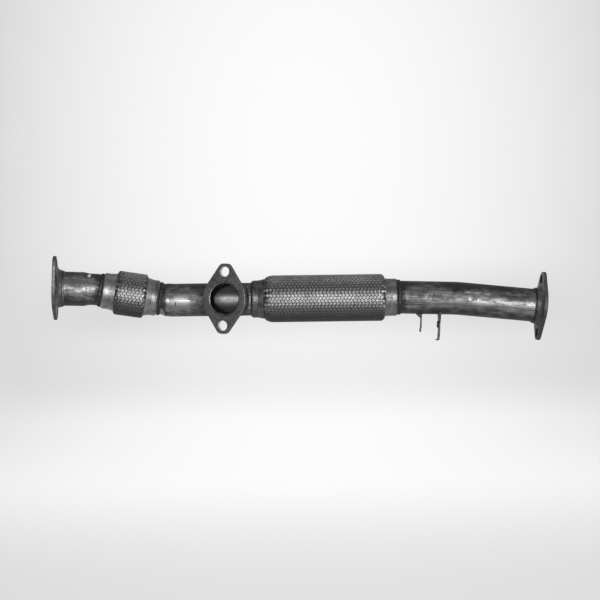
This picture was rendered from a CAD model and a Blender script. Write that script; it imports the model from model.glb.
"""Looks of an exhaust pipe with two braided flexible sections, in metres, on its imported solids."""

import logging
import math
import random
from dataclasses import dataclass
from enum import Enum

import bpy
import numpy as np
from mathutils import Matrix, Vector


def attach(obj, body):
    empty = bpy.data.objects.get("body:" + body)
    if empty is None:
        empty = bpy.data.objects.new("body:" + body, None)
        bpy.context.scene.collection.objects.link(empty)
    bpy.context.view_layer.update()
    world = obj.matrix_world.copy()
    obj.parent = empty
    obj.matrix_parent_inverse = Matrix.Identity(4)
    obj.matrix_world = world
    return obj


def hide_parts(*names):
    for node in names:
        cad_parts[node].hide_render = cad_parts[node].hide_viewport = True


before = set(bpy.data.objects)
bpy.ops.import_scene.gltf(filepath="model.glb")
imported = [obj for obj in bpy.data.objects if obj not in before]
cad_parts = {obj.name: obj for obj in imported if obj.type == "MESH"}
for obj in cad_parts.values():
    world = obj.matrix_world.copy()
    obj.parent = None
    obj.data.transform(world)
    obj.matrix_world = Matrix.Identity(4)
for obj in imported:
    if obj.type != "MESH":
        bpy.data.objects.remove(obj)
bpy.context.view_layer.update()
BODY = "root"
WEAVE_MAP = "lay"
log = logging.getLogger("flex_pipe")

Colour = tuple[float, float, float]
Triple = tuple[float, float, float]
Pair = tuple[float, float]
Ramp = tuple[float, float, float, float]  # low, high, and what they become
Socket = bpy.types.NodeSocket


# Route of the centreline


@dataclass(frozen=True)
class Station:
    """Place on the centreline of the pipe.

    Args:
        origin: Point on the centreline.
        flow: Direction of the pipe there.
    """

    origin: Vector
    flow: Vector

    def along(self, distance: float) -> "Station":
        """Station further down the same straight run."""
        return Station(self.origin + self.flow * distance, self.flow)

    def turned_back(self) -> "Station":
        """The same place with the flow the other way."""
        return Station(self.origin, -self.flow)

    def axes(self) -> Matrix:
        """Frame of the station.

        Returns:
            Matrix that carries (up, side, flow) coordinates into the row frame.
        """
        side = Vector((0, 0, 1)).cross(self.flow).normalized()
        up = self.flow.cross(side)
        turned = Matrix((up, self.flow.cross(up), self.flow)).transposed().to_4x4()
        return Matrix.Translation(self.origin) @ turned


@dataclass(frozen=True)
class Route:
    """Lengths in metres and angles in degrees of the pipe's centreline.

    Args:
        inlet_yaw: Angle towards +Y of the inlet and the small flexible section.
        inlet_pitch: Angle towards +Z of the inlet.
        small_pitch: Angle towards +Z of the small flexible section.
        droop_pitch: Angle towards +Z of the outlet pipe's first run.
        outlet_pitch: Angle towards +Z of its last run.
        inlet_run: From the inlet's face to the neck's corner.
        neck_lead: From there to the small flexible section.
        small_length: Length of the small flexible section.
        middle_lead: From its end to the middle pipe's corner.
        branch_distance: From that corner to the branch.
        middle_run: From that corner to the large flexible section.
        large_length: Length of the large flexible section.
        droop_lead: From its end to the outlet pipe's first corner.
        outlet_lead: From its end to the second corner.
        outlet_run: From there to the outlet's face.
        branch_yaw: Angle of the branch off -Y.
        branch_pitch: Angle of the branch towards +Z.
        branch_length: From the main axis to the branch's face.
        bolt_pitch: Distance between a flange's two bolt holes.
    """

    inlet_yaw: float = 9.5
    inlet_pitch: float = -2.0
    small_pitch: float = -9.0
    droop_pitch: float = -1.9
    outlet_pitch: float = -6.0
    inlet_run: float = 0.0623
    neck_lead: float = 0.0115
    small_length: float = 0.084
    middle_lead: float = 0.020
    branch_distance: float = 0.1043
    middle_run: float = 0.125358
    large_length: float = 0.223
    droop_lead: float = 0.005
    outlet_lead: float = 0.093
    outlet_run: float = 0.1328
    branch_yaw: float = 22.0
    branch_pitch: float = 1.3
    branch_length: float = 0.0518
    bolt_pitch: float = 0.081

    @staticmethod
    def heading(yaw: float, pitch: float) -> Vector:
        """Direction of flow.

        Args:
            yaw: Angle in degrees towards +Y.
            pitch: Angle in degrees towards +Z.

        Returns:
            The direction, of length 1.
        """
        turn, rise = math.radians(yaw), math.radians(pitch)
        flat = math.cos(rise)
        return Vector((flat * math.cos(turn), flat * math.sin(turn), math.sin(rise)))

    def inlet(self) -> Station:
        """Centre of the inlet flange's mating face."""
        return Station(Vector((0, 0, 0)), self.heading(self.inlet_yaw, self.inlet_pitch))

    def small_start(self) -> Station:
        """Front end of the small flexible section."""
        flow = self.heading(self.inlet_yaw, self.small_pitch)
        return Station(self.inlet().along(self.inlet_run).origin + flow * self.neck_lead, flow)

    def small_end(self) -> Station:
        """Rear end of the small flexible section."""
        return self.small_start().along(self.small_length)

    def middle_corner(self) -> Station:
        """Start of the straight main run."""
        return Station(self.small_end().along(self.middle_lead).origin, Vector((1, 0, 0)))

    def branch(self) -> Station:
        """Where the branch leaves the main axis, with the flow outwards."""
        outward = self.heading(-90 - self.branch_yaw, self.branch_pitch)
        return Station(self.middle_corner().along(self.branch_distance).origin, outward)

    def branch_mouth(self) -> Station:
        """Centre of the branch flange's mating face, with the flow inwards."""
        return self.branch().along(self.branch_length).turned_back()

    def large_start(self) -> Station:
        """Front end of the large flexible section."""
        return self.middle_corner().along(self.middle_run)

    def large_end(self) -> Station:
        """Rear end of the large flexible section."""
        return self.large_start().along(self.large_length)

    def outlet(self) -> Station:
        """Centre of the outlet flange's mating face.

        Returns:
            Its station, with the flow outwards.
        """
        flow = self.heading(0, self.outlet_pitch)
        droop = self.heading(0, self.droop_pitch)
        droop_run = self.outlet_lead - self.droop_lead
        corner = self.large_end().along(self.droop_lead).origin + droop * droop_run
        return Station(corner + flow * self.outlet_run, flow)

    def bolt_holes(self, face: Station, clock: float) -> list[Station]:
        """Mouths of the two bolt holes of a flange.

        Args:
            face: Centre of the flange's mating face, with the flow inwards.
            clock: Angle in degrees by which its ears are turned.

        Returns:
            One station for each hole.
        """
        up = face.axes().col[0].to_3d()
        ear = Matrix.Rotation(math.radians(clock), 3, face.flow) @ up
        half = self.bolt_pitch / 2
        return [Station(face.origin + ear * reach, face.flow) for reach in (half, -half)]


ROUTE = Route()


# Finishes


def grey(level: float) -> Colour:
    """Neutral colour of a level between 0 and 1."""
    return (level, level, level)


SOOT = grey(0.035)
GAS_FILM = grey(0.24)
BARE = grey(0.78)
NOISE_SPAN: Pair = (0.3, 0.7)


class Sheet:
    """Node tree of one material, with short ways to add what it needs.

    Attributes:
        bore_edge: Distance over which the mask of a bore ends sideways.
        bore_fade: Distance over which it ends in depth.
        border_scale: Number of notches in a metre of a mark's border.
        border: How far they pull the border in and out.
    """

    bore_edge = 0.0002
    bore_fade = 0.001
    border_scale = 300.0
    border: Pair = (0.82, 1.18)

    def __init__(self, name: str) -> None:
        """Starts a material.

        Args:
            name: Name of the material.
        """
        self.material = bpy.data.materials.new(name)
        self.material.use_nodes = True
        self.tree = self.material.node_tree
        self.shader = self.tree.nodes["Principled BSDF"]
        self.coordinates = self.node("TexCoord").outputs
        self.place = self.coordinates["Object"]

    def node(self, kind: str) -> bpy.types.Node:
        """Adds a shader node of a kind, such as Math or Mapping."""
        return self.tree.nodes.new(f"ShaderNode{kind}")

    def link(self, value: Socket | float | Triple | Vector, target: Socket) -> None:
        """Feeds a socket.

        Args:
            value: Another socket, or a fixed value.
            target: The socket.
        """
        if isinstance(value, bpy.types.NodeSocket):
            self.tree.links.new(value, target)
        elif isinstance(value, tuple):
            target.default_value = (*value, 1.0) if len(target.default_value) == 4 else value
        else:
            target.default_value = value

    def mapped(self, scale: Triple, turn: Triple = (0, 0, 0)) -> Socket:
        """The object's coordinates, stretched and turned.

        Args:
            scale: Stretch along each axis.
            turn: Angles in degrees about each axis.

        Returns:
            The new coordinates.
        """
        turned = self.node("Mapping")
        turned.vector_type = "TEXTURE"
        turned.inputs["Rotation"].default_value = tuple(math.radians(angle) for angle in turn)
        self.link(self.place, turned.inputs["Vector"])
        stretched = self.node("Mapping")
        stretched.inputs["Scale"].default_value = scale
        self.link(turned.outputs[0], stretched.inputs["Vector"])
        return stretched.outputs[0]

    def noise(self, vector: Socket, scale: float, detail: float, roughness: float = 0.6) -> Socket:
        """Adds a cloudy noise.

        Args:
            vector: Coordinates that it follows.
            scale: Number of clouds in a metre.
            detail: Number of finer layers.
            roughness: Strength of the finer layers.

        Returns:
            Values between 0 and 1.
        """
        node = self.node("TexNoise")
        self.link(vector, node.inputs["Vector"])
        node.inputs["Scale"].default_value = scale
        node.inputs["Detail"].default_value = detail
        node.inputs["Roughness"].default_value = roughness
        return node.outputs[0]

    def spread(
        self, value: Socket, low: float, high: float, to_low: float = 0.0, to_high: float = 1.0
    ) -> Socket:
        """Carries a value from one range to another.

        Args:
            value: The value.
            low: Start of its range.
            high: End of its range.
            to_low: Result at the start and before it.
            to_high: Result at the end and past it.

        Returns:
            The result, which changes smoothly.
        """
        node = self.node("MapRange")
        node.interpolation_type = "SMOOTHSTEP"
        for index, setting in enumerate((value, low, high, to_low, to_high)):
            self.link(setting, node.inputs[index])
        return node.outputs[0]

    def sum(self, kind: str, first: Socket, *others: Socket | float) -> Socket:
        """Works out a sum on one value, or on several in turn.

        Args:
            kind: Kind of sum, such as ABSOLUTE or MULTIPLY.
            first: The first value.
            others: The values that follow it.

        Returns:
            The result.
        """
        for other in others or (0.0,):
            node = self.node("Math")
            node.operation = kind
            self.link(first, node.inputs[0])
            self.link(other, node.inputs[1])
            first = node.outputs[0]
        return first

    def vectors(
        self, kind: str, first: Socket, second: Triple | Vector = (0.0, 0.0, 0.0)
    ) -> Socket:
        """Works out a sum on vectors.

        Args:
            kind: Kind of sum, such as DISTANCE or CROSS_PRODUCT.
            first: The first vector.
            second: The second vector, left out for a LENGTH.

        Returns:
            The result.
        """
        node = self.node("VectorMath")
        node.operation = kind
        self.link(first, node.inputs[0])
        self.link(second, node.inputs[1])
        is_length = kind in ("DISTANCE", "DOT_PRODUCT", "LENGTH")
        return node.outputs["Value" if is_length else "Vector"]

    def parts(self, vector: Socket) -> dict[str, Socket]:
        """Takes a vector apart.

        Args:
            vector: The vector.

        Returns:
            Its X, Y and Z by name.
        """
        node = self.node("SeparateXYZ")
        self.link(vector, node.inputs[0])
        return {axis: node.outputs[axis] for axis in "XYZ"}

    def blend(self, share: Socket, first: Socket | Colour, second: Socket | Colour) -> Socket:
        """Mixes two colours.

        Args:
            share: Share of the second one.
            first: Colour at 0.
            second: Colour at 1.

        Returns:
            The mixed colour.
        """
        node = self.node("Mix")
        node.data_type = "RGBA"
        self.link(share, node.inputs[0])
        self.link(first, node.inputs[6])
        self.link(second, node.inputs[7])
        return node.outputs[2]

    def upward(self) -> Socket:
        """How far the surface faces up: 1 on top, -1 underneath."""
        return self.parts(self.coordinates["Normal"])["Z"]

    def near(self, mark: "Mark") -> Socket:
        """Finds the places near a mark, with a ragged border.

        Args:
            mark: The mark.

        Returns:
            The mark's strength at its centre, and 0 past its edge.
        """
        shrunk = tuple(1.0 / stretch for stretch in mark.stretch)
        centre = tuple(place / stretch for place, stretch in zip(mark.place, mark.stretch))
        gap = self.vectors("DISTANCE", self.mapped(shrunk), centre)
        ragged = self.noise(self.place, self.border_scale, 3.0, 0.55)
        distance = self.sum("MULTIPLY", gap, self.spread(ragged, *NOISE_SPAN, *self.border))
        return self.spread(distance, mark.radius * mark.core, mark.radius, mark.strength, 0.0)

    def inside(self, bore: "Bore") -> Socket:
        """Finds the places within a straight bore.

        Args:
            bore: The bore.

        Returns:
            A share of 1 inside and 0 outside.
        """
        gap = self.vectors("SUBTRACT", self.place, bore.mouth.origin)
        depth = self.vectors("DOT_PRODUCT", gap, bore.mouth.flow)
        radius = self.vectors("LENGTH", self.vectors("CROSS_PRODUCT", gap, bore.mouth.flow))
        within = self.spread(radius, bore.radius, bore.radius + self.bore_edge, 1.0, 0.0)
        near = self.spread(depth, bore.depth, bore.depth + self.bore_fade, 1.0, 0.0)
        return self.sum("MULTIPLY", within, near)

    def bump(self, height: Socket, distance: float) -> None:
        """Raises the surface.

        Args:
            height: Height between 0 and 1.
            distance: What 1 stands for in metres.
        """
        node = self.node("Bump")
        node.inputs["Distance"].default_value = distance
        node.inputs["Strength"].default_value = 1.0
        self.link(height, node.inputs["Height"])
        self.link(node.outputs[0], self.shader.inputs["Normal"])


@dataclass(frozen=True)
class Mark:
    """Worn or scorched spot on a piece.

    Args:
        place: Centre of the spot in the row frame.
        radius: Distance at which it fades out.
        strength: How much of the mark's colour shows at its centre.
        stretch: How much longer it is along each axis.
        core: Share of the radius over which it stays at full strength.
    """

    place: Triple
    radius: float
    strength: float = 1.0
    stretch: Triple = (1.0, 1.0, 1.0)
    core: float = 0.1


@dataclass(frozen=True)
class Bore:
    """Straight inside of a tube or hole, with its own colour.

    Args:
        mouth: Station at its open end, with the flow inwards.
        radius: Radius below which a face counts as inside.
        depth: How far in it reaches.
        colour: Colour inside.
    """

    mouth: Station
    radius: float
    depth: float
    colour: Colour = SOOT


@dataclass(frozen=True)
class Steel:
    """Bare steel with cloudy patches, a drawn or rolled grain, specks and marks.

    Args:
        name: Name of the material.
        dark: Colour of the dull film.
        light: Colour of the cleaner metal.
        metallic: How far the metal mirrors its surroundings.
        smooth: Roughness of the cleanest places.
        rough: Roughness of the dullest places.
        sheen: How far the roughness swings between the streaks of the grain.
        cloud: Number of cloudy patches in a metre.
        drawn: Stretch of the cloudy patches along each axis.
        grain: Stretch of the fine grain along each axis.
        grain_share: How strongly the grain tints the metal.
        film: How much duller the piece is on top and underneath.
        turn: Angles of the piece in degrees, so that the grain follows it.
        relief: Height of the grain in metres.
        scorches: Dark places, such as beside a weld.
        scuffs: Bright places, rubbed clean.
        chips: Small places of bare metal.
        bores: Insides that are dark with soot.
        tones: Darkest and lightest tone of the clouds.
        patch_scale: How many small patches lie across a cloud.
        patch_share: How strongly the small patches tint the metal.
        slant: How steep a face is where the film starts, and where it is full.
        streaks: Range of the grain over which the sheen swings.
        speck_scale: Number of specks in a metre.
        pits: How the specks turn into dark pits.
        pit_tone: Brightness of a pit against the dull film.
    """

    name: str
    dark: Colour = grey(0.055)
    light: Colour = grey(0.38)
    metallic: float = 0.95
    smooth: float = 0.43
    rough: float = 0.62
    sheen: float = 0.14
    cloud: float = 38.0
    drawn: Triple = (0.6, 1.0, 1.0)
    grain: Triple = (12.0, 900.0, 900.0)
    grain_share: float = 0.12
    film: float = 0.45
    turn: Triple = (0.0, 0.0, 0.0)
    relief: float = 0.00004
    scorches: tuple[Mark, ...] = ()
    scuffs: tuple[Mark, ...] = ()
    chips: tuple[Mark, ...] = ()
    bores: tuple[Bore, ...] = ()
    tones: Pair = (0.32, 0.72)
    patch_scale: float = 5.3
    patch_share: float = 0.14
    slant: Pair = (0.40, 0.90)
    streaks: Pair = (0.42, 0.58)
    speck_scale: float = 1900.0
    pits: Ramp = (0.62, 0.74, 0.0, 0.55)
    pit_tone: float = 0.35

    def build(self) -> bpy.types.Material:
        """Makes the material.

        Returns:
            The finished material.
        """
        sheet = Sheet(self.name)
        drawn = sheet.mapped(self.drawn, self.turn)
        clouds = sheet.noise(drawn, self.cloud, 5.0)
        patches = sheet.noise(drawn, self.cloud * self.patch_scale, 4.0)
        grain = sheet.noise(sheet.mapped(self.grain, self.turn), 1.0, 3.0)
        specks = sheet.noise(sheet.place, self.speck_scale, 2.0, 0.5)
        tone = sheet.sum(
            "ADD",
            sheet.spread(clouds, *NOISE_SPAN, *self.tones),
            sheet.spread(patches, *NOISE_SPAN, -self.patch_share, self.patch_share),
            sheet.spread(grain, *NOISE_SPAN, -self.grain_share, self.grain_share),
        )
        for mark in self.scuffs:
            tone = sheet.sum("ADD", tone, sheet.near(mark))
        for mark in self.scorches:
            tone = sheet.sum("SUBTRACT", tone, sheet.near(mark))
        slanted = sheet.sum("ABSOLUTE", sheet.upward())
        tone = sheet.sum("SUBTRACT", tone, sheet.spread(slanted, *self.slant, 0.0, self.film))
        tone = sheet.spread(tone, 0.0, 1.0)
        pit_colour = tuple(level * self.pit_tone for level in self.dark)
        colour = sheet.blend(tone, self.dark, self.light)
        colour = sheet.blend(sheet.spread(specks, *self.pits), colour, pit_colour)
        for bore in self.bores:
            colour = sheet.blend(sheet.inside(bore), colour, bore.colour)
        for mark in self.chips:
            colour = sheet.blend(sheet.near(mark), colour, BARE)
        sheet.link(colour, sheet.shader.inputs["Base Color"])
        sheet.shader.inputs["Metallic"].default_value = self.metallic
        roughness = sheet.spread(tone, 0.0, 1.0, self.rough, self.smooth)
        swing = sheet.spread(grain, *self.streaks, -self.sheen, self.sheen)
        sheet.link(sheet.sum("ADD", roughness, swing), sheet.shader.inputs["Roughness"])
        halves = (sheet.sum("MULTIPLY", height, 0.5) for height in (grain, specks))
        sheet.bump(sheet.sum("ADD", *halves), self.relief)
        return sheet.material


@dataclass(frozen=True)
class WireFinish:
    """Stainless wire laid side by side, with dark grooves between the wires.

    Args:
        name: Name of the material.
        crossings: Counts of crossings at which the sleeve starts and stops.
        wires: Number of wires side by side across the piece's own map.
        dark: Colour in the grooves.
        light: Colour on the crests.
        under: Colour underneath and at the ends, where it is dirtiest.
        groove: How the crest falls off from the middle of a wire.
        dirt: How the large dull patches dim the wires.
        wear: How the small ones do.
        lift: How a band darkens where it dips under another.
        shade: How the dirt thins out from the underside upwards.
        front_dirt: Crossings over which it thins out behind the front end.
        rear_dirt: Crossings before and past the rear end over which it comes back.
        cleaned: Share of clean wire at the two ends.
        rough: Roughness against those dull patches.
        relief: Height of the wires in metres.
        streak: How far their gloss is drawn out across them.
    """

    name: str
    crossings: Pair
    wires: int
    dark: Colour = grey(0.09)
    light: Colour = grey(0.92)
    under: Colour = grey(0.10)
    groove: Ramp = (0.28, 0.5, 1.0, 0.0)
    dirt: Pair = (0.66, 1.0)
    wear: Ramp = (0.25, 0.75, 0.85, 1.0)
    lift: Ramp = (0.0, 0.85, 0.06, 1.0)
    shade: Ramp = (-0.85, -0.25, 0.0, 1.0)
    front_dirt: float = 2.8
    rear_dirt: Pair = (0.6, 0.3)
    cleaned: float = 0.1
    rough: Pair = (0.74, 0.65)
    relief: float = 0.00004
    streak: float = 0.9

    def build(self) -> bpy.types.Material:
        """Makes the material.

        Returns:
            The finished material.
        """
        sheet = Sheet(self.name)
        own = sheet.node("UVMap")
        own.uv_map = WEAVE_MAP
        lay = sheet.parts(own.outputs[0])
        lane = sheet.sum("FRACT", sheet.sum("MULTIPLY", lay["X"], float(self.wires)))
        crest = sheet.spread(sheet.sum("ABSOLUTE", sheet.sum("SUBTRACT", lane, 0.5)), *self.groove)
        dirt = sheet.spread(sheet.noise(sheet.place, 40.0, 5.0), *NOISE_SPAN, *self.dirt)
        wear = sheet.spread(sheet.noise(sheet.place, 900.0, 3.0), *self.wear)
        lift = sheet.sum("COSINE", sheet.sum("MULTIPLY", lay["Y"], math.tau))
        tone = sheet.sum("MULTIPLY", crest, dirt, wear, sheet.spread(lift, *self.lift))
        first, last = self.crossings
        before, past = self.rear_dirt
        open_air = sheet.sum(
            "MULTIPLY",
            sheet.spread(sheet.upward(), *self.shade),
            sheet.spread(lay["Y"], first, first + self.front_dirt, self.cleaned, 1.0),
            sheet.spread(lay["Y"], last - before, last + past, 1.0, self.cleaned),
        )
        colour = sheet.blend(tone, self.dark, self.light)
        sheet.link(sheet.blend(open_air, self.under, colour), sheet.shader.inputs["Base Color"])
        sheet.shader.inputs["Metallic"].default_value = 1.0
        sheet.shader.inputs["Anisotropic"].default_value = self.streak
        sheet.link(sheet.spread(dirt, *self.dirt, *self.rough), sheet.shader.inputs["Roughness"])
        across = sheet.node("Tangent")
        across.direction_type = "UV_MAP"
        across.uv_map = WEAVE_MAP
        sheet.link(across.outputs[0], sheet.shader.inputs["Tangent"])
        sheet.bump(crest, self.relief)
        return sheet.material


@dataclass(frozen=True)
class PaperFinish:
    """Matt paper that looks paler to the camera and in gloss than its paint does.

    Args:
        paint: Colour of the paper under the lamps.
        brightest: X and Z of the place where it looks white.
        rise: How fast it darkens upwards, against sideways.
        wall: How much the wall darkens, and the distance squared at which that stops.
        floor: The same two for the floor.
        under: Soft shades on the wall below the object, the lower one first.
        clear: Heights over which those shades end.
        sides: Distance squared over which they end sideways.
        near: Shades on the floor, behind the object and in front.
        corner: Heights over which the floor's tone gives way to the wall's.
        glow: Share of its look that this fixed tone makes up.
        roughness: Roughness of the paper.
    """

    paint: Colour = (0.80, 0.81, 0.81)
    brightest: Pair = (0.40, 0.52)
    rise: float = 0.4
    wall: Pair = (0.215, 1.3)
    floor: Pair = (0.16, 1.5)
    under: tuple[Ramp, Ramp] = ((-0.47, -0.38, 0.0, 0.055), (-0.19, -0.07, 0.0, 0.10))
    clear: Ramp = (-0.05, 0.16, 1.0, 0.0)
    sides: Ramp = (0.3, 1.2, 1.0, 0.0)
    near: tuple[Ramp, Ramp] = ((0.0, 1.1, 0.225, 0.0), (-0.60, 0.02, 0.66, 0.0))
    corner: Ramp = (-0.48, -0.28, 1.0, 0.0)
    glow: float = 0.965
    roughness: float = 0.9

    def tone(self, sheet: Sheet) -> Socket:
        """Works out how much darker than white each place looks.

        Args:
            sheet: The material's node tree.

        Returns:
            The share of black.
        """
        place = sheet.parts(sheet.place)
        aside, above = (
            sheet.sum("POWER", sheet.sum("SUBTRACT", place[axis], middle), 2.0)
            for axis, middle in zip("XZ", self.brightest)
        )
        spot = sheet.sum("ADD", aside, sheet.sum("MULTIPLY", above, self.rise))
        wall = sheet.sum("MULTIPLY", sheet.sum("MINIMUM", spot, self.wall[1]), self.wall[0])
        shade = sheet.sum("ADD", *(sheet.spread(place["Z"], *ramp) for ramp in self.under))
        clear = sheet.spread(place["Z"], *self.clear)
        shade = sheet.sum("MULTIPLY", shade, clear, sheet.spread(aside, *self.sides))
        near = sheet.sum("ADD", *(sheet.spread(place["Y"], *ramp) for ramp in self.near))
        floor = sheet.sum("MULTIPLY", sheet.sum("MINIMUM", aside, self.floor[1]), self.floor[0])
        mixed = sheet.node("Mix")
        sheet.link(sheet.spread(place["Z"], *self.corner), mixed.inputs[0])
        sheet.link(sheet.sum("ADD", wall, shade), mixed.inputs[2])
        sheet.link(sheet.sum("ADD", floor, near), mixed.inputs[3])
        return mixed.outputs[0]

    def build(self) -> bpy.types.Material:
        """Makes the material.

        Returns:
            The finished material.
        """
        sheet = Sheet("pale_paper")
        sheet.link(self.paint, sheet.shader.inputs["Base Color"])
        sheet.shader.inputs["Roughness"].default_value = self.roughness
        rays = sheet.node("LightPath").outputs
        seen = sheet.sum(
            "MAXIMUM", rays["Is Camera Ray"], rays["Is Glossy Ray"], rays["Is Transmission Ray"]
        )
        glow = sheet.node("Emission")
        sheet.link(sheet.blend(self.tone(sheet), grey(1.0), grey(0.0)), glow.inputs["Color"])
        mixed = sheet.node("MixShader")
        sheet.link(sheet.sum("MULTIPLY", seen, self.glow), mixed.inputs[0])
        sheet.link(sheet.shader.outputs[0], mixed.inputs[1])
        sheet.link(glow.outputs[0], mixed.inputs[2])
        sheet.link(mixed.outputs[0], sheet.tree.nodes["Material Output"].inputs["Surface"])
        return sheet.material


# Work on one mesh at a time


class Shaping:
    """Ways of working on a mesh, as at a bench."""

    merge_gap = 0.000001

    @staticmethod
    def clear() -> None:
        """Leaves edit mode and selects nothing."""
        if bpy.context.object and bpy.context.object.mode != "OBJECT":
            bpy.ops.object.mode_set(mode="OBJECT")
        bpy.ops.object.select_all(action="DESELECT")

    @staticmethod
    def take(*pieces: bpy.types.Object) -> None:
        """Selects pieces and nothing else.

        Args:
            pieces: The pieces, of which the first becomes the active one.
        """
        Shaping.clear()
        for piece in pieces:
            piece.select_set(True)
        bpy.context.view_layer.objects.active = pieces[0]

    @staticmethod
    def grid(name: str, across: int, along: int) -> bpy.types.Object:
        """Flat unit grid between 0 and 1 with its own map.

        Args:
            name: Name of the piece.
            across: Number of faces along local x.
            along: Number of faces along local y.

        Returns:
            The grid, alone in the selection.
        """
        Shaping.clear()
        bpy.ops.mesh.primitive_grid_add(
            x_subdivisions=across, y_subdivisions=along, size=1.0, location=(0.5, 0.5, 0),
            calc_uvs=True,
        )
        bpy.ops.object.transform_apply(location=True, rotation=True, scale=True)
        piece = bpy.context.object
        piece.name = name
        piece.data.name = name
        piece.data.uv_layers[0].name = WEAVE_MAP
        return piece

    @staticmethod
    def points(piece: bpy.types.Object) -> np.ndarray:
        """Reads the vertices of a piece.

        Args:
            piece: The piece.

        Returns:
            Their places, one row each.
        """
        flat = np.empty(len(piece.data.vertices) * 3)
        piece.data.vertices.foreach_get("co", flat)
        return flat.reshape(-1, 3)

    @staticmethod
    def rounded(radius: np.ndarray, angle: np.ndarray, distance: np.ndarray) -> np.ndarray:
        """Places round an axis.

        Args:
            radius: Radius of each place.
            angle: Angle of each in radians.
            distance: Distance of each along the axis.

        Returns:
            Their local places, one row each.
        """
        return np.stack((radius * np.cos(angle), radius * np.sin(angle), distance), axis=1)

    @staticmethod
    def move(piece: bpy.types.Object, places: np.ndarray, axes: Matrix) -> None:
        """Puts the vertices in new local places, then carries them into the row frame.

        Args:
            piece: The piece to move.
            places: New local places, one row each.
            axes: Matrix of the local frame.
        """
        piece.data.vertices.foreach_set("co", places.astype(np.float32).ravel())
        piece.data.transform(axes)
        piece.data.update()

    @staticmethod
    def merge(piece: bpy.types.Object) -> None:
        """Joins vertices that meet and turns the faces outwards.

        Args:
            piece: The piece.
        """
        Shaping.take(piece)
        bpy.ops.object.mode_set(mode="EDIT")
        bpy.ops.mesh.select_all(action="SELECT")
        bpy.ops.mesh.remove_doubles(threshold=Shaping.merge_gap)
        bpy.ops.mesh.normals_make_consistent(inside=False)
        bpy.ops.object.mode_set(mode="OBJECT")

    @staticmethod
    def join(pieces: list[bpy.types.Object], name: str) -> bpy.types.Object:
        """Joins pieces into one.

        Args:
            pieces: Pieces to join.
            name: Name of the result.

        Returns:
            The joined piece.
        """
        Shaping.take(*pieces)
        bpy.ops.object.join()
        pieces[0].name = name
        pieces[0].data.name = name
        return pieces[0]

    @staticmethod
    def smooth(piece: bpy.types.Object, angle: float = 60.0) -> None:
        """Shades a piece smooth where its faces meet below an angle in degrees."""
        Shaping.take(piece)
        bpy.ops.object.shade_smooth_by_angle(angle=math.radians(angle))


def coat(piece: bpy.types.Object, material: bpy.types.Material) -> None:
    """Gives a piece its one material."""
    piece.data.materials.clear()
    piece.data.materials.append(material)


def dress(piece: bpy.types.Object, material: bpy.types.Material, slot: str, *nodes: str) -> None:
    """Gives a new piece its finish and its place among the solids.

    Args:
        piece: The new piece.
        material: Its material.
        slot: The record's material slot.
        nodes: Solids that it stands for.
    """
    coat(piece, material)
    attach(piece, BODY)
    if nodes:
        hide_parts(*nodes)
    log.info("%s: %d faces", piece.name, len(piece.data.polygons))


# Braided sleeves


class Lay(Enum):
    """Hand of a band of wires."""

    RIGHT = 1
    LEFT = -1


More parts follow.
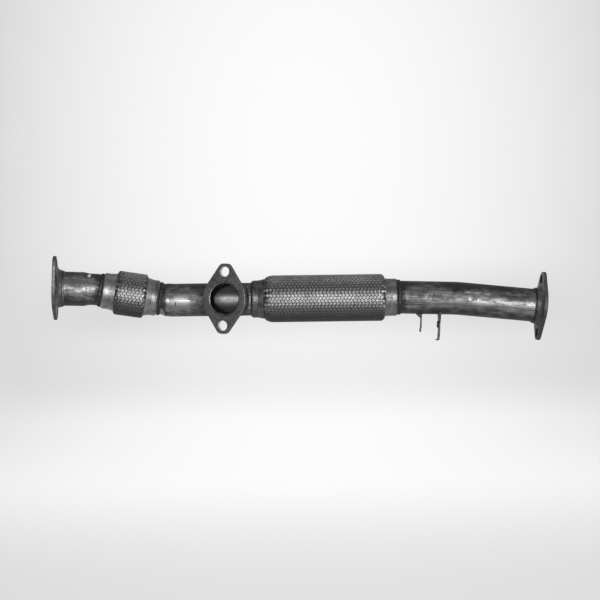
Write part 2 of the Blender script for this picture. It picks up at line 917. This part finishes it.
@dataclass
class WovenSleeve:
    """Braided sleeve of a flexible section, woven from two families of bands.

    Args:
        name: Name of the sleeve and of the solid that it stands for.
        start: Station of the section's front end.
        length: Length of the section.
        neck_radius: Outside radius of the pipe inside the ends.
        barrel_radius: Outside radius of the sleeve.
        front_shoulder: Length over which the sleeve rises at the front.
        rear_shoulder: Length over which it falls at the rear.
        ferrule_length: Length of the end caps.
        tuck: How far the bands reach in under the caps.
        end_rise: Height of the sleeve's ends above the pipe.
        clearance: Gap left between the wires' crests and the barrel's radius.
        bands: Number of bands in a family.
        band_pitch: Distance along the pipe between two bands of a family.
        wires: Number of wires in a band.
        band_width: Width of a band.
        weave_height: How far a band rises and dips at the crossings.
        wire_relief: Height of a wire's crest above its band.
        groove: Depth of the grooves between wires, against that height.
        edge: Power that rounds a band's two edges.
        steps_per_crossing: Faces along a band between two crossings.
        wander: How far a band strays sideways.
        wander_rate: How fast it strays, in radians for each metre.
        wander_shift: Angle between the straying of two bands.
    """

    name: str
    start: Station
    length: float
    neck_radius: float
    barrel_radius: float
    front_shoulder: float
    rear_shoulder: float
    ferrule_length: float = 0.0185
    tuck: float = 0.003
    end_rise: float = 0.0024
    clearance: float = 0.0001
    bands: int = 24
    band_pitch: float = 0.0055
    wires: int = 5
    band_width: float = 0.00435
    weave_height: float = 0.00022
    wire_relief: float = 0.00012
    groove: float = 1.6
    edge: float = 0.25
    steps_per_crossing: int = 4
    wander: float = 0.00018
    wander_rate: float = 190.0
    wander_shift: float = 2.4

    def radius(self, distance: np.ndarray) -> np.ndarray:
        """Middle radius of the weave.

        Args:
            distance: Distances from the section's front end.

        Returns:
            The radius at each of them.
        """
        crest = self.barrel_radius - self.weave_height - self.wire_relief - self.clearance
        low = self.neck_radius + self.end_rise
        front = np.clip((distance - self.ferrule_length) / self.front_shoulder, 0, 1)
        rear = np.clip((self.length - self.ferrule_length - distance) / self.rear_shoulder, 0, 1)
        front, rear = (np.sqrt(np.clip(1 - (1 - share) ** 2, 0, 1)) for share in (front, rear))
        return low + (crest - low) * (front * rear)

    def crossings(self) -> Pair:
        """Counts of crossings, from the section's front end, at which the sleeve's ends lie."""
        ends = (self.ferrule_length, self.length - self.ferrule_length)
        return tuple(end / self.band_pitch for end in ends)

    def band(self, number: int, lay: Lay) -> bpy.types.Object:
        """Models one band of wires.

        Args:
            number: Which band of its family.
            lay: Hand of the family.

        Returns:
            The band's piece.
        """
        hand = lay.value
        first = self.ferrule_length - self.tuck
        last = self.length - self.ferrule_length + self.tuck
        lead = self.bands * self.band_pitch
        steps = round((last - first) / (self.band_pitch / 2) * self.steps_per_crossing)
        band = Shaping.grid(f"{self.name}_{lay.name.lower()}_{number}", 2 * self.wires, steps)
        flat = Shaping.points(band)
        offset = (flat[:, 0] - 0.5) * self.band_width
        centre = first + flat[:, 1] * (last - first)
        angle = math.tau * number / self.bands + hand * math.tau * centre / lead
        stray = np.sin(centre * self.wander_rate + number * self.wander_shift)
        angle = angle + self.wander * stray / self.barrel_radius
        radius = self.radius(centre)
        slope = np.arctan(math.tau * radius / lead)
        distance = centre - hand * np.sin(slope) * offset
        angle = angle + np.cos(slope) * offset / radius
        other = self.bands * (angle / math.tau + hand * distance / lead)
        over = np.cos(math.pi * (other - number)) * hand
        lane = np.abs(np.sin(math.pi * self.wires * flat[:, 0]))
        edge = np.sin(math.pi * np.clip(flat[:, 0], 0.0, 1.0)) ** self.edge
        crest = self.wire_relief * (lane * self.groove + edge - self.groove)
        radius = self.radius(distance) + self.weave_height * over + crest
        self.wind(band, flat[:, 0], centre / self.band_pitch + (0.0 if lay is Lay.RIGHT else 0.5))
        Shaping.move(band, Shaping.rounded(radius, angle, distance), self.start.axes())
        return band

    def wind(self, band: bpy.types.Object, across: np.ndarray, crossings: np.ndarray) -> None:
        """Writes a band's own map, by which its finish follows the wires.

        Args:
            band: The band.
            across: Place of each vertex across the band, from 0 to 1.
            crossings: Crossings passed at each vertex, whole where the band lies on top.
        """
        corners = np.empty(len(band.data.loops), dtype=np.int32)
        band.data.loops.foreach_get("vertex_index", corners)
        wound = np.stack((across, crossings), axis=1)[corners]
        band.data.uv_layers[WEAVE_MAP].uv.foreach_set("vector", wound.astype(np.float32).ravel())

    def build(self) -> None:
        """Models and dresses the sleeve, one piece for each family of bands."""
        material = WireFinish(f"{self.name}_steel", self.crossings(), self.wires).build()
        for lay in Lay:
            bands = [self.band(number, lay) for number in range(self.bands)]
            family = Shaping.join(bands, f"{self.name}_{lay.name.lower()}_wires")
            Shaping.smooth(family, 75.0)
            dress(family, material, "braid", self.name)


# Weld beads


def bow(across: np.ndarray) -> np.ndarray:
    """How far the ripples of a bead lag behind: 0 at its middle and 1 at its edges."""
    return (across - 0.5) ** 2 * 4


def finish_bead(bead: bpy.types.Object, material: bpy.types.Material, node: str) -> None:
    """Closes a bead's mesh and dresses it.

    Args:
        bead: The bead.
        material: Its material.
        node: Solid that it stands for.
    """
    Shaping.merge(bead)
    Shaping.smooth(bead, 70.0)
    dress(bead, material, "weld", node)


@dataclass
class WeldBead:
    """Rippled bead round a pipe, against the flat end at its station.

    Args:
        name: Name of the solid that it stands for.
        place: Station where the bead starts.
        radius: Outside radius of the pipe.
        width: Width along the pipe.
        height: Height above the pipe.
        ripple: Distance between two ripples.
        seed: Number that sets its unevenness.
        faces: Number of faces round the pipe and across the bead.
        waves: Number of slow waves that make up its unevenness.
        wave_counts: Fewest and most bumps of a wave round the pipe.
        wave_shares: Weakest and strongest share of a wave.
        lag: How far the ripples bow back, and how far they wander, in radians.
        rounding: Power that rounds the bead's section.
        level: Height of the bead between its ripples, as a share.
        crest: Height of the ripples, as a share.
        drift: Share by which width and height vary.
        gap: Distance of the bead's rims from the pipe.
    """

    name: str
    place: Station
    radius: float
    width: float = 0.0060
    height: float = 0.0019
    ripple: float = 0.0026
    seed: int = 1
    faces: tuple[int, int] = (300, 10)
    waves: int = 5
    wave_counts: tuple[int, int] = (2, 9)
    wave_shares: Pair = (0.3, 1.0)
    lag: Pair = (2.6, 2.0)
    rounding: float = 0.6
    level: float = 0.74
    crest: float = 0.22
    drift: float = 0.10
    gap: float = 0.00003

    def build(self, material: bpy.types.Material) -> None:
        """Models and dresses the bead.

        Args:
            material: Its material.
        """
        bead = Shaping.grid(f"{self.name}_bead", *self.faces)
        flat = Shaping.points(bead)
        turn = flat[:, 0] * math.tau
        rng = random.Random(self.seed)
        uneven = 0.0
        for _ in range(self.waves):
            count, phase = rng.randint(*self.wave_counts), rng.uniform(0, math.tau)
            uneven = uneven + rng.uniform(*self.wave_shares) * np.sin(count * turn + phase)
        uneven = uneven / self.waves
        ripples = round(math.tau * self.radius / self.ripple)
        back, aside = self.lag
        scale = 0.5 + 0.5 * np.sin(ripples * turn + back * bow(flat[:, 1]) + aside * uneven)
        profile = np.sin(math.pi * np.clip(flat[:, 1], 0, 1)) ** self.rounding
        distance = flat[:, 1] * self.width * (1 + self.drift * uneven)
        top = self.height * profile * (self.level + self.crest * scale + self.drift * uneven)
        radius = self.radius + np.minimum(top, self.height) + self.gap
        Shaping.move(bead, Shaping.rounded(radius, turn, distance), self.place.axes())
        finish_bead(bead, material, self.name)


@dataclass
class SaddleBead:
    """Rippled bead where the branch stub meets the middle pipe.

    Args:
        name: Name of the solid that it stands for.
        stub_radius: Outside radius of the stub.
        pipe_radius: Outside radius of the middle pipe.
        thickness: Height of the bead above both.
        ripples: Number of ripples round the stub.
        faces: Number of faces round the stub and across the bead.
        lag: How far the ripples bow back, in radians.
        level: Height of the bead between its ripples, as a share.
        crest: Height of the ripples, as a share.
        hollow: Share by which the bead is thinner in its middle.
    """

    name: str = "branch_stub_weld"
    stub_radius: float = 0.02505
    pipe_radius: float = 0.02555
    thickness: float = 0.0019
    ripples: int = 76
    faces: tuple[int, int] = (320, 12)
    lag: float = 2.2
    level: float = 0.80
    crest: float = 0.16
    hollow: float = 0.45

    def build(self, material: bpy.types.Material) -> None:
        """Models and dresses the bead.

        Args:
            material: Its material.
        """
        branch = ROUTE.branch()
        flow = np.array(branch.flow)
        side = np.array(Vector((0, 0, 1)).cross(branch.flow).normalized())
        bead = Shaping.grid("branch_saddle_bead", *self.faces)
        flat = Shaping.points(bead)
        turn = flat[:, 0] * math.tau
        stub_normal = np.outer(np.cos(turn), np.cross(flow, side)) + np.outer(np.sin(turn), side)
        rim = stub_normal * self.stub_radius
        square = flow[1] ** 2 + flow[2] ** 2
        slant = rim[:, 1] * flow[1] + rim[:, 2] * flow[2]
        excess = rim[:, 1] ** 2 + rim[:, 2] ** 2 - self.pipe_radius**2
        out = (np.sqrt(np.clip(slant**2 - square * excess, 0, None)) - slant) / square
        centre = rim + np.outer(out, flow)
        pipe_normal = centre * np.array((0.0, 1.0, 1.0)) / self.pipe_radius
        lean = flat[:, 1] * math.pi / 2
        ripple = np.sin(self.ripples * turn + self.lag * bow(flat[:, 1]))
        height = self.thickness * (self.level + self.crest * ripple)
        height = height * (1.0 - self.hollow * np.sin(math.pi * flat[:, 1]))
        reach = np.stack((np.cos(lean), np.sin(lean)), axis=1) * height[:, None]
        places = centre + stub_normal * reach[:, :1] + pipe_normal * reach[:, 1:]
        Shaping.move(bead, places, Matrix.Translation(branch.origin))
        finish_bead(bead, material, self.name)


# Loose wire ends


@dataclass
class WireEnd:
    """Loose end of a wire that has sprung out of the sleeve.

    Args:
        root: Point where it leaves the sleeve.
        tip: Point where it ends.
        bow: Point that pulls the middle of the wire.
        pull: How far the curve's handles reach towards that point.
        thickness: Radius of the wire.
    """

    root: Triple
    tip: Triple
    bow: Triple
    pull: float = 0.6
    thickness: float = 0.00028

    def mesh(self, name: str) -> bpy.types.Object:
        """Models the wire as a swept round bar.

        Args:
            name: Name of the piece.

        Returns:
            The wire's piece.
        """
        Shaping.clear()
        bpy.ops.curve.primitive_bezier_curve_add(location=(0, 0, 0))
        wire = bpy.context.object
        wire.name = name
        start, end = wire.data.splines[0].bezier_points
        for point, place in ((start, self.root), (end, self.tip)):
            point.co = place
            point.handle_left_type = "FREE"
            point.handle_right_type = "FREE"
        for point in (start, end):
            point.handle_left = point.co.lerp(Vector(self.bow), self.pull)
            point.handle_right = point.co.lerp(Vector(self.bow), self.pull)
        wire.data.bevel_depth = self.thickness
        wire.data.bevel_resolution = 1
        wire.data.resolution_u = 8
        wire.data.use_fill_caps = True
        bpy.ops.object.convert(target="MESH")
        wire = bpy.context.object
        Shaping.smooth(wire)
        return wire


@dataclass(frozen=True)
class LooseWires:
    """Broken wires that stand out of the long sleeve, most of them at its rear end.

    Args:
        centre_depth: Y of the sleeve's axis.
        sleeve_axis: Z of the sleeve's axis.
        sleeve_radius: Radius at which the wires leave the sleeve.
        tuft: X and Z of the middle of the tuft.
        tuft_reach: How far from there its wires start and end.
        tuft_squeeze: How much narrower the tuft is along the pipe.
        tuft_count: Number of wires in the tuft.
        spans: Smallest and largest share of that reach.
        bends: Smallest and largest turn of a wire round the tuft, in radians.
        tip_lift: Lowest and highest place of a tip off the sleeve.
        bow_lift: Lowest and highest place of a wire's middle.
        steepest: Greatest height on the sleeve's side, as a share of its radius.
        singles: X, side and length of each wire that stands alone.
        depth: How deep the roots of the tuft and of the single wires lie.
        slant: How far a single wire leans forwards.
        seed: Number that sets the tuft's wires.
    """

    centre_depth: float = 0.0291
    sleeve_axis: float = -0.0202
    sleeve_radius: float = 0.0362
    tuft: Pair = (0.4940, -0.0255)
    tuft_reach: float = 0.0075
    tuft_squeeze: float = 0.6
    tuft_count: int = 11
    spans: Pair = (0.35, 1.0)
    bends: Pair = (0.8, 2.4)
    tip_lift: Pair = (-0.0002, 0.0012)
    bow_lift: Pair = (0.0015, 0.0035)
    steepest: float = 0.99
    singles: tuple[Triple, ...] = (
        (0.3512, 1.0, 0.0030), (0.4136, -1.0, 0.0026), (0.4386, -1.0, 0.0014),
    )
    depth: Pair = (0.0004, 0.0006)
    slant: float = 0.0012
    seed: int = 7

    def on_sleeve(self, along: float, level: float, out: float) -> Triple:
        """Point on the side of the sleeve that faces the branch.

        Args:
            along: Its X.
            level: Its Z before it is lifted.
            out: How far it is lifted off the sleeve.

        Returns:
            The point.
        """
        radius = self.sleeve_radius + out
        rise = (level - self.sleeve_axis) / radius
        rise = max(-self.steepest, min(self.steepest, rise))
        side = radius * math.sqrt(1 - rise * rise)
        return (along, self.centre_depth - side, self.sleeve_axis + radius * rise)

    def in_tuft(self, reach: float, turn: float) -> Pair:
        """X and Z at a reach and an angle from the middle of the tuft."""
        aside, up = reach * self.tuft_squeeze * math.cos(turn), reach * math.sin(turn)
        return (self.tuft[0] + aside, self.tuft[1] + up)

    def ends(self) -> list[WireEnd]:
        """Lays out the loose wires.

        Returns:
            Those of the tuft, then the single ones at the top and underneath.
        """
        rng = random.Random(self.seed)
        wires = []
        for _ in range(self.tuft_count):
            turn = rng.uniform(0, math.tau)
            reach = self.tuft_reach * rng.uniform(*self.spans)
            start = self.in_tuft(reach, turn)
            stop = self.in_tuft(reach, turn + rng.uniform(*self.bends))
            middle = ((start[0] + stop[0]) / 2, (start[1] + stop[1]) / 2)
            root = self.on_sleeve(*start, -self.depth[0])
            tip = self.on_sleeve(*stop, rng.uniform(*self.tip_lift))
            wires.append(WireEnd(root, tip, self.on_sleeve(*middle, rng.uniform(*self.bow_lift))))
        for along, side, length in self.singles:
            foot = self.sleeve_axis + side * (self.sleeve_radius - self.depth[1])
            end = self.sleeve_axis + side * (self.sleeve_radius + length)
            root, tip, bend = (
                (along, self.centre_depth, foot),
                (along - self.slant, self.centre_depth, end),
                (along, self.centre_depth, (foot + 2 * end) / 3),
            )
            wires.append(WireEnd(root, tip, bend))
        return wires

    def build(self, material: bpy.types.Material) -> None:
        """Models and dresses the wires."""
        wires = [end.mesh(f"loose_wire_{number}") for number, end in enumerate(self.ends())]
        dress(Shaping.join(wires, "loose_wires"), material, "braid")


# Stage, light and camera


@dataclass
class Studio:
    """Pale floor and backdrop, soft lamps and the camera.

    Args:
        floor_level: Height of the floor.
        floor_reach: How far the floor comes forward.
        wall_distance: Place of the backdrop along +Y.
        wall_height: Height of the backdrop above its bend.
        bend: Radius of the bend between floor and backdrop.
        half_width: Half of their width.
        centre: X of their middle.
        paper_faces: Number of faces across and along the paper.
        aim: Point that the lamps face.
        room: Colour of the dim room round them.
        room_strength: Strength of its light.
        camera_place: Place of the camera, which looks along +Y.
        camera_roll: Its turn in degrees.
        lens: Its focal length in millimetres.
        sensor_width: Width of its frame in millimetres.
    """

    floor_level: float = -0.49
    floor_reach: float = 3.0
    wall_distance: float = 2.05
    wall_height: float = 3.5
    bend: float = 0.30
    half_width: float = 3.2
    centre: float = 0.38
    paper_faces: tuple[int, int] = (2, 60)
    aim: Triple = (0.38, 0.03, -0.02)
    room: Colour = (0.92, 0.95, 1.0)
    room_strength: float = 0.11
    camera_place: Triple = (0.3731, -1.4709, -0.0226)
    camera_roll: float = 0.77
    lens: float = 58.3
    sensor_width: float = 36.0

    def backdrop(self) -> None:
        """Models the paper sweep that runs from the floor up behind the object."""
        sweep = Shaping.grid("paper_sweep", *self.paper_faces)
        flat = Shaping.points(sweep)
        arc_length = self.bend * math.pi / 2
        run = flat[:, 1] * (self.wall_distance + self.floor_reach + arc_length + self.wall_height)
        level = self.wall_distance - self.bend + self.floor_reach
        arc = np.clip((run - level) / arc_length, 0, 1) * math.pi / 2
        rise = np.clip(run - level - arc_length, 0, None)
        depth = np.minimum(run, level) - self.floor_reach + self.bend * np.sin(arc)
        height = self.floor_level + self.bend * (1 - np.cos(arc)) + rise
        width = (flat[:, 0] - 0.5) * 2 * self.half_width + self.centre
        Shaping.move(sweep, np.stack((width, depth, height), axis=1), Matrix.Identity(4))
        Shaping.smooth(sweep)
        coat(sweep, PaperFinish().build())

    def lamp(self, name: str, place: Triple, size: Pair, power: float) -> None:
        """Adds a soft rectangular lamp that faces the object.

        Args:
            name: Name of the lamp.
            place: Where it stands.
            size: Width and height of its face.
            power: Power in watts.
        """
        data = bpy.data.lights.new(name, "AREA")
        data.shape = "RECTANGLE"
        data.size, data.size_y = size
        data.energy = power
        lamp = bpy.data.objects.new(name, data)
        bpy.context.scene.collection.objects.link(lamp)
        lamp.location = place
        facing = Vector(self.aim) - Vector(place)
        lamp.rotation_euler = facing.to_track_quat("-Z", "Y").to_euler()

    def light(self) -> None:
        """Sets the lamps and the dim room round them."""
        self.lamp("front_box", (0.45, -1.90, -0.14), (1.5, 1.0), 38.0)
        self.lamp("top_box", (0.38, 0.10, 1.40), (1.8, 0.5), 4.0)
        world = bpy.data.worlds.new("room")
        world.use_nodes = True
        room = world.node_tree.nodes["Background"].inputs
        room["Color"].default_value = (*self.room, 1)
        room["Strength"].default_value = self.room_strength
        bpy.context.scene.world = world

    def camera(self) -> None:
        """Sets the camera at the photograph's viewing angle."""
        data = bpy.data.cameras.new("camera")
        data.lens = self.lens
        data.sensor_width = self.sensor_width
        camera = bpy.data.objects.new("camera", data)
        bpy.context.scene.collection.objects.link(camera)
        roll = math.radians(self.camera_roll)
        right = Vector((math.cos(roll), 0, -math.sin(roll)))
        up = Vector((math.sin(roll), 0, math.cos(roll)))
        turned = Matrix((right, up, Vector((0, -1, 0)))).transposed().to_4x4()
        camera.matrix_world = Matrix.Translation(self.camera_place) @ turned
        bpy.context.scene.camera = camera

    def build(self) -> None:
        """Sets up the whole studio."""
        bpy.context.scene.view_settings.view_transform = "Standard"
        self.backdrop()
        self.light()
        self.camera()


# The whole pipe


@dataclass
class FlexPipe:
    """Finishes on the solids, and the pieces that stand for some of them.

    Args:
        inlet_turn: Angles in degrees of the inlet pipe.
        small_turn: Angles of the small flexible section.
        outlet_turn: Angles of the outlet pipe.
        branch_turn: Angles of the branch.
        round_grain: Stretch of a grain that runs round the pipe.
        hub_depth: Distance from a flange's face to the end of its hub.
        flange_bead: Width and height of the bead against a hub.
        bolt_radius: Radius below which a face counts as inside a bolt hole.
        bolt_depth: How far in from the mating face it does.
    """

    inlet_turn: Triple = (0.0, 2.0, 9.5)
    small_turn: Triple = (0.0, 9.0, 9.5)
    outlet_turn: Triple = (0.0, 3.4, 0.0)
    branch_turn: Triple = (0.0, 0.0, 68.0)
    round_grain: Triple = (900.0, 14.0, 14.0)
    hub_depth: float = 0.0140
    flange_bead: Pair = (0.0030, 0.0011)
    bolt_radius: float = 0.0076
    bolt_depth: float = 0.01

    def flange(
        self, name: str, face: Station, clock: float, bore: float,
        wall: Colour = SOOT, dull: tuple[Mark, ...] = (),
    ) -> Steel:
        """Finish of one flange: matt plate, bolt holes and a dark gas bore.

        Args:
            name: Which flange.
            face: Centre of its mating face, with the flow inwards.
            clock: Angle in degrees by which its ears are turned.
            bore: Radius below which a face counts as inside its gas bore.
            wall: Colour inside its bolt holes.
            dull: Darker places.

        Returns:
            The finish.
        """
        holes = (
            Bore(hole, self.bolt_radius, self.bolt_depth, wall)
            for hole in ROUTE.bolt_holes(face, clock)
        )
        return Steel(
            f"{name}_flange_steel", grey(0.07), grey(0.19), 0.7, 0.42, 0.62, cloud=70.0,
            grain=(300.0, 300.0, 300.0), relief=0.00012, bores=(*holes, Bore(face, bore, 0.02)),
            scorches=dull,
        )

    def flanges(self) -> dict[str, Steel]:
        """Finishes of the three flanges.

        Returns:
            Finishes by solid name.
        """
        outlet = ROUTE.outlet().turned_back()
        low_ear = Mark((0.7490, 0.0, -0.0720), 0.0500, 0.8, (1.0, 1.0, 0.9), 0.4)
        return {
            "inlet_flange": self.flange("inlet", ROUTE.inlet(), 30.0, 0.02625),
            "branch_flange": self.flange("branch", ROUTE.branch_mouth(), 2.5, 0.02535, BARE),
            "outlet_flange": self.flange("outlet", outlet, 0.0, 0.02575, dull=(low_ear,)),
        }

    def pipes(self) -> dict[str, Steel]:
        """Finishes of the three pipes and the branch's stub.

        Returns:
            Finishes by solid name.
        """
        mouth = ROUTE.branch_mouth()
        main = Bore(ROUTE.middle_corner(), 0.0245, 0.2, GAS_FILM)
        inlet = Steel(
            "inlet_pipe_steel", turn=self.inlet_turn, bores=(Bore(ROUTE.inlet(), 0.0250, 0.04),),
            scorches=(
                Mark((0.0700, 0.010, -0.003), 0.024, 0.45, (0.45, 3.0, 3.0)),
                Mark((0.0330, -0.0195, -0.003), 0.016, 0.10, (1.4, 1.5, 1.2)),
            ),
            scuffs=(
                Mark((0.0400, -0.0180, -0.0090), 0.0110, 0.28, (1.5, 1.5, 0.9)),
                Mark((0.0502, -0.0173, -0.0023), 0.0022, 1.0, (0.7, 2.0, 2.4)),
                Mark((0.0558, -0.0154, -0.0022), 0.0022, 1.0, (0.8, 2.0, 2.2)),
            ),
            chips=(Mark((0.0555, -0.0047, 0.0186), 0.0030, 1.0, (1.0, 3.0, 1.45), 0.5),),
        )
        middle = Steel(
            "middle_pipe_steel", cloud=30.0, bores=(main, Bore(mouth, 0.0244, 0.040)),
            scorches=(
                Mark((0.1635, 0.028, -0.020), 0.024, 0.7, (0.35, 3.0, 3.0)),
                Mark((0.1840, 0.0045, -0.0262), 0.0022, 1.0, (0.6, 2.0, 2.6)),
                Mark((0.2245, 0.008, -0.020), 0.016, 0.3, (1.0, 2.0, 2.0)),
            ),
            scuffs=(
                Mark((0.1721, 0.0033, -0.0214), 0.0034, 1.0, (0.9, 1.5, 1.5)),
                Mark((0.1990, 0.0038, -0.0216), 0.0024, 0.8, (4.0, 2.0, 0.8)),
                Mark((0.1930, 0.0045, -0.0255), 0.0120, 0.60, (1.6, 1.5, 0.9)),
                Mark((0.1906, 0.0042, -0.0151), 0.0020, 0.7, (1.6, 2.0, 0.7)),
                Mark((0.2107, 0.0048, -0.0134), 0.0022, 0.7, (1.6, 2.0, 0.8)),
            ),
        )
        outlet = Steel(
            "outlet_pipe_steel", turn=self.outlet_turn, cloud=26.0,
            bores=(Bore(ROUTE.outlet().turned_back(), 0.0245, 0.09),),
            scorches=(
                Mark((0.5280, 0.028, -0.020), 0.026, 0.55, (0.4, 3.0, 3.0)),
                Mark((0.5480, 0.004, -0.021), 0.022, 0.34, (1.6, 1.5, 1.1)),
                Mark((0.6100, 0.010, -0.006), 0.016, 0.30, (3.5, 2.0, 0.8)),
                Mark((0.5970, 0.004, -0.023), 0.008, 0.22, (2.4, 2.0, 1.0)),
                Mark((0.5790, 0.004, -0.0220), 0.0090, 0.42, (1.8, 2.0, 1.0)),
            ),
            scuffs=(
                Mark((0.5660, 0.0039, -0.0231), 0.0012, 0.2, (26.0, 3.0, 0.9)),
                Mark((0.6313, 0.0039, -0.0242), 0.0032, 0.9, (1.2, 2.0, 1.0)),
                Mark((0.6440, 0.0038, -0.0256), 0.0024, 0.9, (1.0, 2.0, 1.0)),
                Mark((0.6948, 0.0038, -0.0313), 0.0052, 0.3, (6.5, 2.0, 0.8)),
                Mark((0.6740, 0.0040, -0.0262), 0.0048, 0.5, (4.0, 2.0, 0.9)),
                Mark((0.6480, 0.0042, -0.0325), 0.0090, 0.40, (3.6, 2.0, 0.8)),
                Mark((0.6980, 0.0050, -0.0390), 0.0100, 0.40, (3.0, 2.0, 0.8)),
            ),
            chips=(
                Mark((0.7252, 0.0040, -0.0317), 0.0020, 0.5, (1.4, 1.5, 1.1)),
                Mark((0.6290, 0.0064, -0.0144), 0.0014, 0.65, (6.0, 4.0, 1.6)),
                Mark((0.6430, 0.0064, -0.0157), 0.0014, 0.75, (6.0, 4.0, 1.6)),
                Mark((0.6580, 0.0064, -0.0173), 0.0014, 0.75, (6.0, 4.0, 1.6)),
            ),
        )
        stub = Steel(
            "branch_stub_steel", turn=self.branch_turn, bores=(Bore(mouth, 0.0244, 0.08),)
        )
        return {
            "inlet_pipe": inlet, "middle_pipe": middle, "outlet_pipe": outlet, "branch_stub": stub,
        }

    def ferrules(self) -> dict[str, Steel]:
        """Finishes of the end caps of the flexible sections.

        Returns:
            Finishes by solid name.
        """
        small = Steel(
            "small_ferrule_steel", grey(0.13), grey(0.40), 0.95, 0.46, 0.64, cloud=60.0,
            film=0.1, grain=self.round_grain, turn=self.small_turn,
            scorches=(Mark((0.1565, 0.024, -0.020), 0.020, 0.6, (0.25, 3.0, 3.0)),),
        )
        rear = Steel(
            "large_rear_ferrule_steel", grey(0.09), grey(0.33), 0.95, 0.42, 0.58, cloud=60.0,
            film=0.2, grain=self.round_grain,
            scorches=(Mark((0.5225, 0.029, -0.020), 0.020, 0.7, (0.3, 3.0, 3.0)),),
        )
        front = Steel(
            "large_front_ferrule_steel", grey(0.055), grey(0.21), 0.95, 0.38, 0.54, cloud=60.0,
            film=0.4, grain=self.round_grain,
            scorches=(Mark((0.2990, 0.029, -0.020), 0.020, 0.6, (0.25, 3.0, 3.0)),),
        )
        return {
            "small_front_ferrule": small, "small_rear_ferrule": small,
            "large_front_ferrule": front, "large_rear_ferrule": rear,
        }

    def details(self) -> dict[str, Steel]:
        """Finishes of the branch's seam, the brackets and the hidden tubes.

        Returns:
            Finishes by solid name.
        """
        seam = Steel(
            "seam_steel", grey(0.16), grey(0.60), 0.95, 0.34, 0.50, cloud=140.0,
            grain=(300.0, 300.0, 300.0),
        )
        bracket = Steel(
            "bracket_steel", grey(0.025), grey(0.075), 0.7, 0.46, 0.62, cloud=90.0,
            grain=(200.0, 200.0, 200.0), relief=0.00008,
        )
        inner = Steel("inner_steel", grey(0.05), grey(0.16), 0.8, 0.35, 0.55, cloud=60.0)
        hidden = ("small_bellows", "large_bellows", "small_liner", "large_liner")
        return {
            "branch_flange_weld": seam, "short_bracket": bracket, "long_bracket": bracket,
            **dict.fromkeys(hidden, inner),
        }

    def paint(self) -> None:
        """Dresses the solids that keep their shape."""
        made: dict[str, bpy.types.Material] = {}
        finishes = {**self.pipes(), **self.flanges(), **self.ferrules(), **self.details()}
        for node, finish in finishes.items():
            if finish.name not in made:
                made[finish.name] = finish.build()
            coat(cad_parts[node], made[finish.name])
            log.info("%s: %s", node, finish.name)

    def welds(self) -> None:
        """Dresses the brackets' welds and models the beads round the pipes."""
        dull = Steel(
            "weld_steel", (0.030, 0.030, 0.029), (0.10, 0.098, 0.096), 0.8, 0.46, 0.62,
            cloud=130.0, grain=(400.0, 400.0, 400.0), relief=0.0001,
        ).build()
        clean = Steel(
            "clean_weld_steel", smooth=0.46, rough=0.62, cloud=90.0, relief=0.0001
        ).build()
        for node in ("short_bracket_weld", "long_bracket_weld"):
            coat(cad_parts[node], dull)
        small_start, small_end = ROUTE.small_start().turned_back(), ROUTE.small_end()
        large_start, large_end = ROUTE.large_start().turned_back(), ROUTE.large_end()
        inlet_hub = ROUTE.inlet().along(self.hub_depth)
        outlet_hub = ROUTE.outlet().turned_back().along(self.hub_depth)
        for bead in (
            WeldBead("inlet_pipe_weld", small_start, 0.024, seed=5),
            WeldBead("middle_pipe_front_weld", small_end, 0.024, seed=8),
            WeldBead("middle_pipe_rear_weld", large_start, 0.0254, 0.0014, 0.0015, seed=11),
            WeldBead("outlet_pipe_weld", large_end, 0.0254, seed=13),
            WeldBead("outlet_flange_weld", outlet_hub, 0.0254, *self.flange_bead, seed=17),
        ):
            bead.build(dull)
        inlet_bead = WeldBead("inlet_flange_weld", inlet_hub, 0.0259, *self.flange_bead, seed=3)
        inlet_bead.build(clean)
        SaddleBead().build(dull)

    def sleeves(self) -> None:
        """Models the two braided sleeves and the wires that have come loose."""
        WovenSleeve(
            "small_braid", ROUTE.small_start(), ROUTE.small_length,
            neck_radius=0.024, barrel_radius=0.0339, front_shoulder=0.0045, rear_shoulder=0.0045,
        ).build()
        WovenSleeve(
            "large_braid", ROUTE.large_start(), ROUTE.large_length,
            neck_radius=0.0254, barrel_radius=0.0364, front_shoulder=0.015, rear_shoulder=0.007,
        ).build()
        loose = Steel(
            "loose_wire_steel", grey(0.22), grey(0.60), 0.95, 0.22, 0.36, cloud=120.0,
            grain=(300.0, 300.0, 300.0),
        )
        LooseWires().build(loose.build())

    def build(self) -> None:
        """Models and dresses the whole pipe."""
        self.paint()
        self.welds()
        self.sleeves()


def main() -> None:
    """Builds the studio and the pipe, and notes the sizes."""
    logging.basicConfig(level=logging.INFO, format="%(name)s %(message)s")
    Studio().build()
    FlexPipe().build()
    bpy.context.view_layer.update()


if __name__ == "__main__":
    main()
